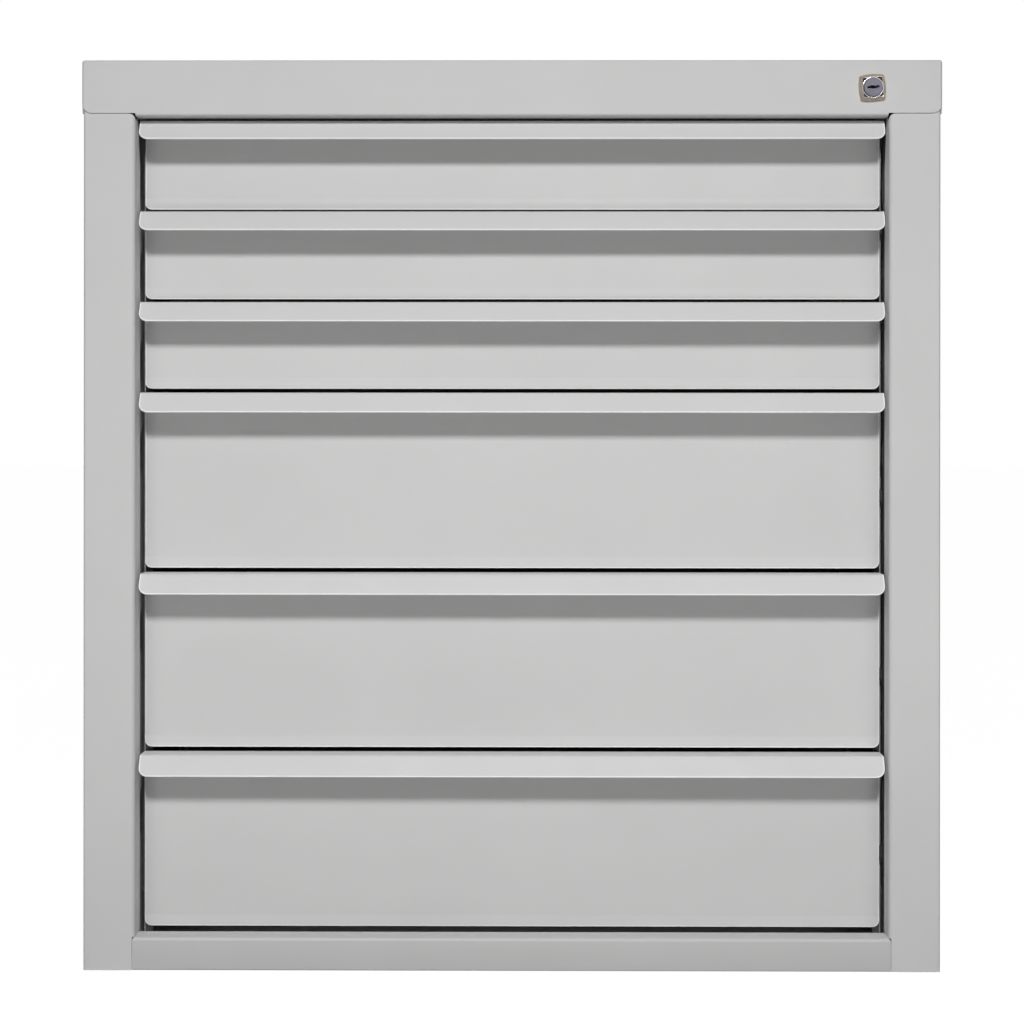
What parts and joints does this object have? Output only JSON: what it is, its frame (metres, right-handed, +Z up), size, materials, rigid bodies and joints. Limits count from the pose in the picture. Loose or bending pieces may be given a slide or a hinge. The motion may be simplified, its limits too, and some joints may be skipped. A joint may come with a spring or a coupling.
{
  "type": "steel drawer cabinet",
  "caption": "Steel drawer cabinet on ball-bearing slides: folded posts, full-width lip handles, shallow and deep drawers, and one lock whose bar holds them all shut.",
  "frame": {"origin": "on the floor, under the middle of the whole cabinet with its cover and lock", "axes": "+X to the viewer's right as the drawers are faced, +Y from the drawer fronts to the back, +Z up"},
  "size_m": [0.8026, 0.6098, 0.85],
  "materials": {
    "grey_powder_coat": "satin light grey powder coat with a fine orange peel",
    "zinc_plated_steel": "bright zinc plating",
    "bright_steel": "fine turned steel",
    "blackened_steel": "oiled black phosphate on steel",
    "satin_nickel": "warm satin nickel"
  },
  "bodies": {
    "carcass": {"back_panel": "grey_powder_coat", "back_rivets": "bright_steel", "bar_guides": "blackened_steel", "bottom_rail": "grey_powder_coat", "cover_return": "grey_powder_coat", "cover_screws": "bright_steel", "floor_panel": "grey_powder_coat", "lock_bezel": "satin_nickel", "lock_housing": "bright_steel", "lock_nut": "zinc_plated_steel", "post_stiffener_left": "grey_powder_coat", "post_stiffener_right": "grey_powder_coat", "side_panel_left": "grey_powder_coat", "side_panel_right": "grey_powder_coat", "slide_outer_left": "zinc_plated_steel", "slide_outer_right": "zinc_plated_steel", "slide_screws": "bright_steel", "top_cover": "grey_powder_coat", "upright_front_left": "grey_powder_coat", "upright_front_right": "grey_powder_coat", "upright_rear_left": "grey_powder_coat", "upright_rear_right": "grey_powder_coat"},
    "lock_core": {"lock_plug": "bright_steel", "lock_cam": "bright_steel", "cam_screw": "bright_steel"},
    "bar": {"locking_bar": "blackened_steel", "bar_fingers": "blackened_steel"},
    "drawer_1": {"drawer_front_1": "grey_powder_coat", "drawer_tray_1": "grey_powder_coat", "drawer_catch_1": "zinc_plated_steel", "slide_inner_1": "zinc_plated_steel"},
    "slides_1": {"slide_middle_1": "zinc_plated_steel"},
    "drawer_2": {"drawer_front_2": "grey_powder_coat", "drawer_tray_2": "grey_powder_coat", "drawer_catch_2": "zinc_plated_steel", "slide_inner_2": "zinc_plated_steel"},
    "slides_2": {"slide_middle_2": "zinc_plated_steel"},
    "drawer_3": {"drawer_front_3": "grey_powder_coat", "drawer_tray_3": "grey_powder_coat", "drawer_catch_3": "zinc_plated_steel", "slide_inner_3": "zinc_plated_steel"},
    "slides_3": {"slide_middle_3": "zinc_plated_steel"},
    "drawer_4": {"drawer_front_4": "grey_powder_coat", "drawer_tray_4": "grey_powder_coat", "drawer_catch_4": "zinc_plated_steel", "slide_inner_4": "zinc_plated_steel"},
    "slides_4": {"slide_middle_4": "zinc_plated_steel"},
    "drawer_5": {"drawer_front_5": "grey_powder_coat", "drawer_tray_5": "grey_powder_coat", "drawer_catch_5": "zinc_plated_steel", "slide_inner_5": "zinc_plated_steel"},
    "slides_5": {"slide_middle_5": "zinc_plated_steel"},
    "drawer_6": {"drawer_front_6": "grey_powder_coat", "drawer_tray_6": "grey_powder_coat", "drawer_catch_6": "zinc_plated_steel", "slide_inner_6": "zinc_plated_steel"},
    "slides_6": {"slide_middle_6": "zinc_plated_steel"}
  },
  "joints": [
    {"name": "bar_drop", "type": "slide", "parent": "carcass", "child": "bar", "axis": [0, 0, -1], "range_m": [0, 0.01202]},
    {"name": "lock_turn", "type": "hinge", "parent": "carcass", "child": "lock_core", "pos_m": [0.3356, -0.2964, 0.8232], "axis": [0, 1, 0], "range_deg": [0, 90]},
    {"name": "drawer_1_pull", "type": "slide", "parent": "carcass", "child": "drawer_1", "axis": [0, -1, 0], "range_m": [0, 0.5]},
    {"name": "slides_1_follow", "type": "slide", "parent": "carcass", "child": "slides_1", "axis": [0, -1, 0], "range_m": [0, 0.25]},
    {"name": "drawer_2_pull", "type": "slide", "parent": "carcass", "child": "drawer_2", "axis": [0, -1, 0], "range_m": [0, 0.5]},
    {"name": "slides_2_follow", "type": "slide", "parent": "carcass", "child": "slides_2", "axis": [0, -1, 0], "range_m": [0, 0.25]},
    {"name": "drawer_3_pull", "type": "slide", "parent": "carcass", "child": "drawer_3", "axis": [0, -1, 0], "range_m": [0, 0.5]},
    {"name": "slides_3_follow", "type": "slide", "parent": "carcass", "child": "slides_3", "axis": [0, -1, 0], "range_m": [0, 0.25]},
    {"name": "drawer_4_pull", "type": "slide", "parent": "carcass", "child": "drawer_4", "axis": [0, -1, 0], "range_m": [0, 0.5]},
    {"name": "slides_4_follow", "type": "slide", "parent": "carcass", "child": "slides_4", "axis": [0, -1, 0], "range_m": [0, 0.25]},
    {"name": "drawer_5_pull", "type": "slide", "parent": "carcass", "child": "drawer_5", "axis": [0, -1, 0], "range_m": [0, 0.5]},
    {"name": "slides_5_follow", "type": "slide", "parent": "carcass", "child": "slides_5", "axis": [0, -1, 0], "range_m": [0, 0.25]},
    {"name": "drawer_6_pull", "type": "slide", "parent": "carcass", "child": "drawer_6", "axis": [0, -1, 0], "range_m": [0, 0.5]},
    {"name": "slides_6_follow", "type": "slide", "parent": "carcass", "child": "slides_6", "axis": [0, -1, 0], "range_m": [0, 0.25]}
  ],
  "couplings": [
    {"joint": "lock_turn", "follows": "bar_drop", "rad_per_m": 130.6},
    {"joint": "slides_1_follow", "follows": "drawer_1_pull", "ratio": 0.5},
    {"joint": "slides_2_follow", "follows": "drawer_2_pull", "ratio": 0.5},
    {"joint": "slides_3_follow", "follows": "drawer_3_pull", "ratio": 0.5},
    {"joint": "slides_4_follow", "follows": "drawer_4_pull", "ratio": 0.5},
    {"joint": "slides_5_follow", "follows": "drawer_5_pull", "ratio": 0.5},
    {"joint": "slides_6_follow", "follows": "drawer_6_pull", "ratio": 0.5}
  ]
}
